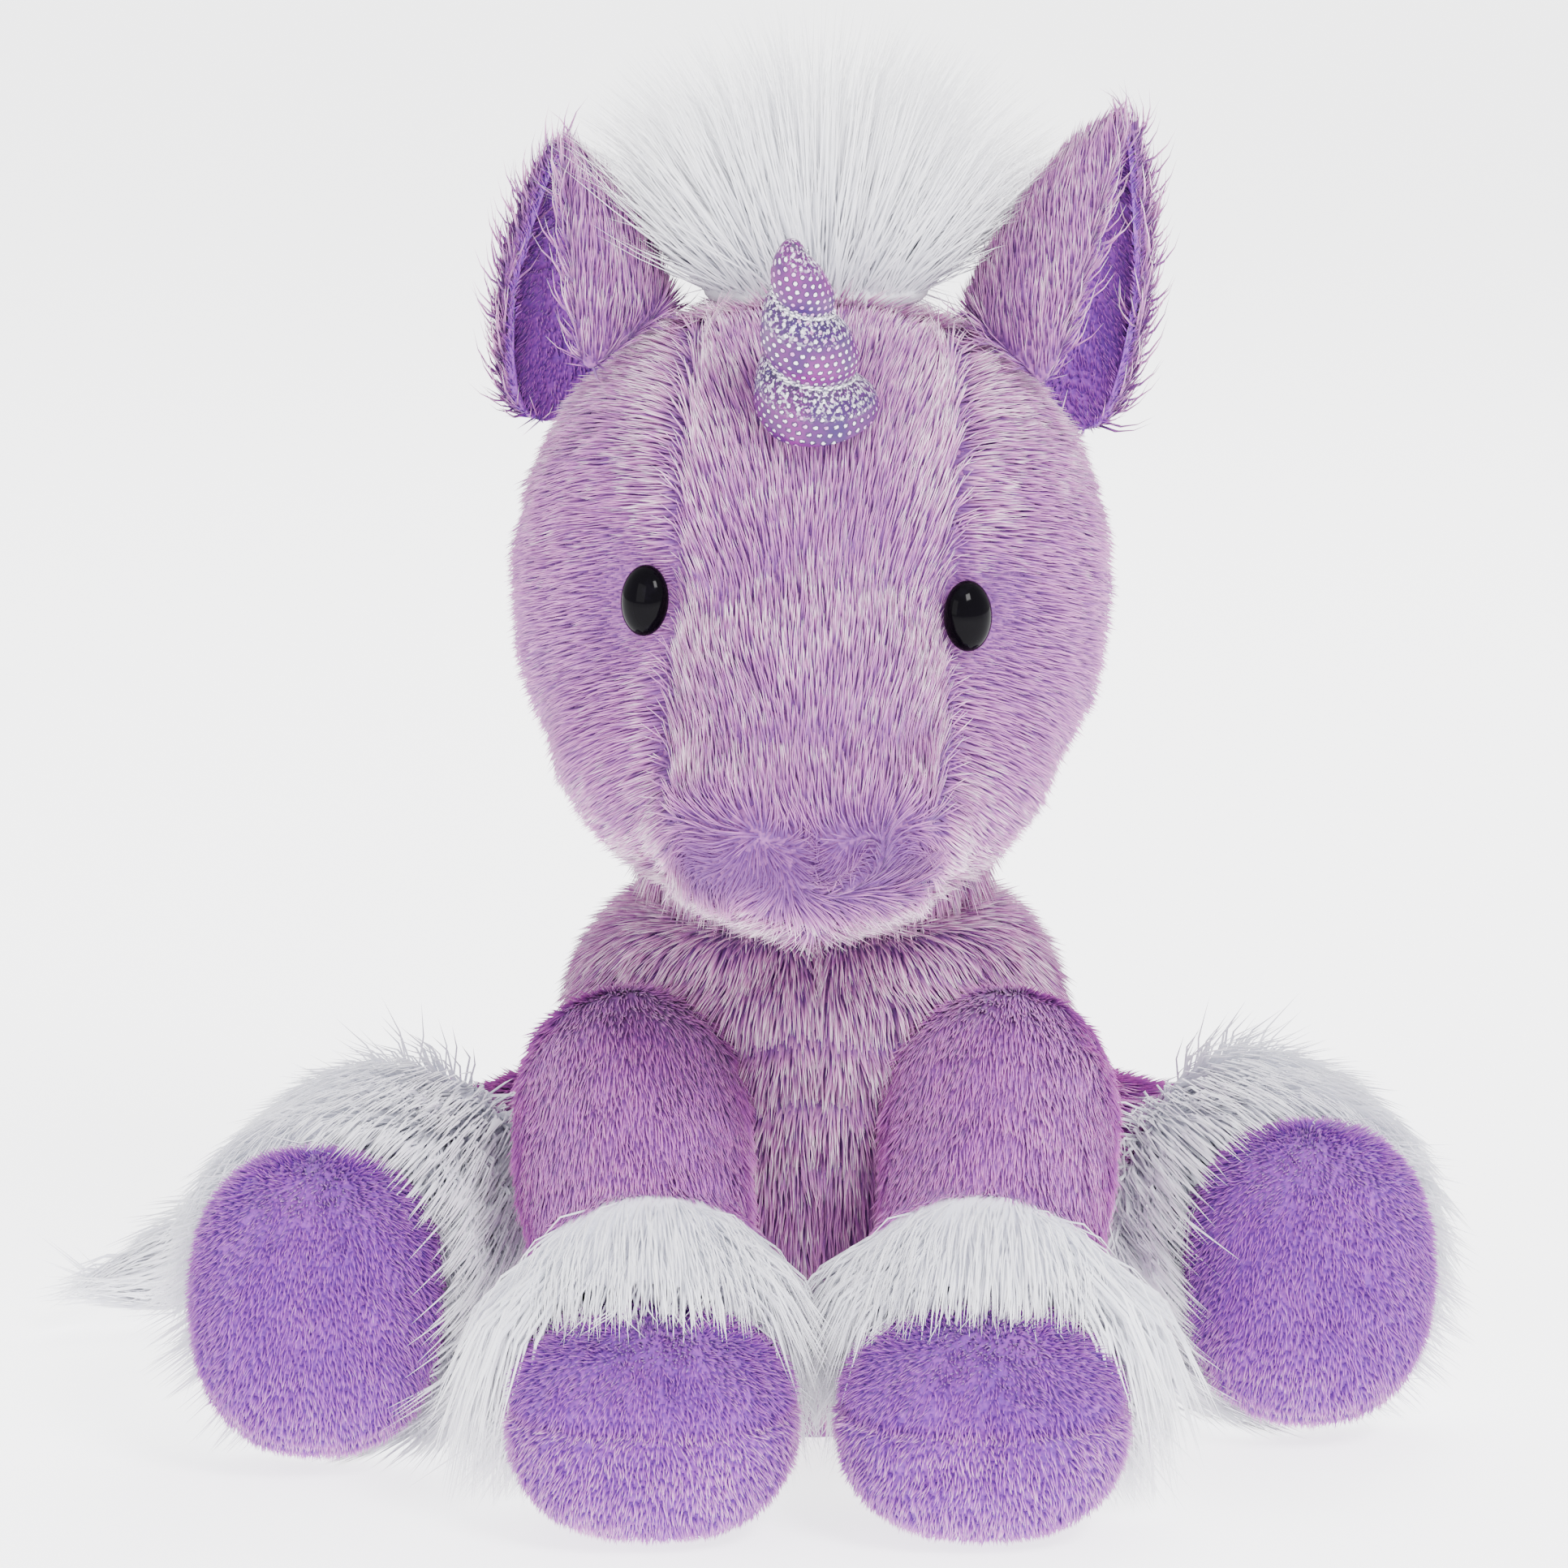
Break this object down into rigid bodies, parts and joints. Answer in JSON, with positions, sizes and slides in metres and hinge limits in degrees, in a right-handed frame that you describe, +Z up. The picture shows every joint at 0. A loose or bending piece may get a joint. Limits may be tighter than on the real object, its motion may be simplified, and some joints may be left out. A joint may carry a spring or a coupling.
{
  "type": "plush unicorn",
  "caption": "Sitting plush unicorn with a satin horn, long white cuffs, mane and tail, stuffed hooves and soft joints at neck, ears and legs.",
  "frame": {"origin": "on the flat underside of the seat panel, in the plane that parts the toy's left from its right, 22 mm ahead of the panel's middle", "axes": "+Z up, -Y the way the toy faces, +X the toy's own left"},
  "size_m": [0.2453, 0.2004, 0.2466],
  "materials": {
    "lavender_fur": "plush pile of about 6 mm, pale tips",
    "lilac_velvet": "plush pile of about 4 mm",
    "purple_suede": "short pile of about 1.5 mm",
    "white_pile": "long soft pile of 12 to 25 mm",
    "stuffing": "matte fibre",
    "pellet_cloth": "plain woven",
    "eye_black": "gloss",
    "washer_plastic": "matte",
    "horn_satin": "satin with small foil dots",
    "silver_thread": "metallic thread",
    "label_cloth": "plain satin ribbon"
  },
  "bodies": {
    "torso": {"torso_side_left": "lavender_fur", "torso_side_right": "lavender_fur", "seat_panel": "lavender_fur", "torso_stuffing": "stuffing", "pellet_bag": "pellet_cloth", "care_label": "label_cloth"},
    "neck": {"neck_cover": "lavender_fur", "neck_stuffing": "stuffing"},
    "head": {"head_side_left": "lavender_fur", "head_side_right": "lavender_fur", "face_gusset": "lavender_fur", "chin_panel": "lavender_fur", "head_stuffing": "stuffing", "eye_left": "eye_black", "eye_right": "eye_black", "eye_washer_left": "washer_plastic", "eye_washer_right": "washer_plastic", "horn_shell": "horn_satin", "horn_stuffing": "stuffing", "horn_thread": "silver_thread", "forelock": "white_pile", "mane": "white_pile"},
    "tail": {"tail": "white_pile"},
    "ear_left": {"ear_back_left": "lavender_fur", "ear_lining_left": "purple_suede"},
    "fore_leg_left": {"fore_sleeve_left": "lilac_velvet", "fore_leg_filling_left": "stuffing", "fore_cuff_left": "white_pile"},
    "fore_hoof_left": {"fore_hoof_upper_left": "purple_suede", "fore_hoof_sole_left": "purple_suede", "fore_hoof_filling_left": "stuffing"},
    "rear_leg_left": {"rear_thigh_left": "lilac_velvet", "rear_leg_filling_left": "stuffing", "rear_pile_left": "white_pile"},
    "rear_hoof_left": {"rear_hoof_upper_left": "purple_suede", "rear_hoof_sole_left": "purple_suede", "rear_hoof_filling_left": "stuffing"},
    "ear_right": {"ear_back_right": "lavender_fur", "ear_lining_right": "purple_suede"},
    "fore_leg_right": {"fore_sleeve_right": "lilac_velvet", "fore_leg_filling_right": "stuffing", "fore_cuff_right": "white_pile"},
    "fore_hoof_right": {"fore_hoof_upper_right": "purple_suede", "fore_hoof_sole_right": "purple_suede", "fore_hoof_filling_right": "stuffing"},
    "rear_leg_right": {"rear_thigh_right": "lilac_velvet", "rear_leg_filling_right": "stuffing", "rear_pile_right": "white_pile"},
    "rear_hoof_right": {"rear_hoof_upper_right": "purple_suede", "rear_hoof_sole_right": "purple_suede", "rear_hoof_filling_right": "stuffing"}
  },
  "joints": [
    {"name": "head_turn", "type": "hinge", "parent": "torso", "child": "neck", "pos_m": [0, 0.012, 0.105], "axis": [0, 0, 1], "range_deg": [-25, 25], "stiffness_Nm_per_rad": 0.25},
    {"name": "head_nod", "type": "hinge", "parent": "neck", "child": "head", "pos_m": [0, 0.012, 0.105], "axis": [1, 0, 0], "range_deg": [-8, 8], "stiffness_Nm_per_rad": 1.6},
    {"name": "ear_left_bend", "type": "hinge", "parent": "head", "child": "ear_left", "pos_m": [0.04027, 0.003, 0.17625], "axis": [1, 0, 0], "range_deg": [-10, 10], "stiffness_Nm_per_rad": 0.02},
    {"name": "ear_right_bend", "type": "hinge", "parent": "head", "child": "ear_right", "pos_m": [-0.04328, 0.003, 0.17704], "axis": [1, 0, 0], "range_deg": [-10, 10], "stiffness_Nm_per_rad": 0.02},
    {"name": "fore_leg_left_lift", "type": "hinge", "parent": "torso", "child": "fore_leg_left", "pos_m": [0.033, -0.019, 0.063], "axis": [-1, 0, 0], "range_deg": [0, 35]},
    {"name": "fore_hoof_left_flex", "type": "hinge", "parent": "fore_leg_left", "child": "fore_hoof_left", "pos_m": [0.028, -0.06, 0.031], "axis": [-1, 0, 0], "range_deg": [0, 7], "stiffness_Nm_per_rad": 0.02},
    {"name": "rear_leg_left_splay", "type": "hinge", "parent": "torso", "child": "rear_leg_left", "pos_m": [0.043, 0.034, 0.033], "axis": [0, 0, 1], "range_deg": [-5, 35]},
    {"name": "rear_hoof_left_flex", "type": "hinge", "parent": "rear_leg_left", "child": "rear_hoof_left", "pos_m": [0.0885, 0.001, 0.031], "axis": [1, 0, 0], "range_deg": [-4, 4], "stiffness_Nm_per_rad": 0.08},
    {"name": "fore_leg_right_lift", "type": "hinge", "parent": "torso", "child": "fore_leg_right", "pos_m": [-0.033, -0.019, 0.063], "axis": [-1, 0, 0], "range_deg": [0, 35]},
    {"name": "fore_hoof_right_flex", "type": "hinge", "parent": "fore_leg_right", "child": "fore_hoof_right", "pos_m": [-0.028, -0.06, 0.031], "axis": [-1, 0, 0], "range_deg": [0, 7], "stiffness_Nm_per_rad": 0.02},
    {"name": "rear_leg_right_splay", "type": "hinge", "parent": "torso", "child": "rear_leg_right", "pos_m": [-0.043, 0.034, 0.033], "axis": [0, 0, -1], "range_deg": [-5, 35]},
    {"name": "rear_hoof_right_flex", "type": "hinge", "parent": "rear_leg_right", "child": "rear_hoof_right", "pos_m": [-0.0885, -0.018, 0.0305], "axis": [1, 0, 0], "range_deg": [-4, 4], "stiffness_Nm_per_rad": 0.08},
    {"name": "tail_swing", "type": "hinge", "parent": "torso", "child": "tail", "pos_m": [0, 0.069, 0.03], "axis": [0, 0, -1], "range_deg": [0, 40]}
  ]
}
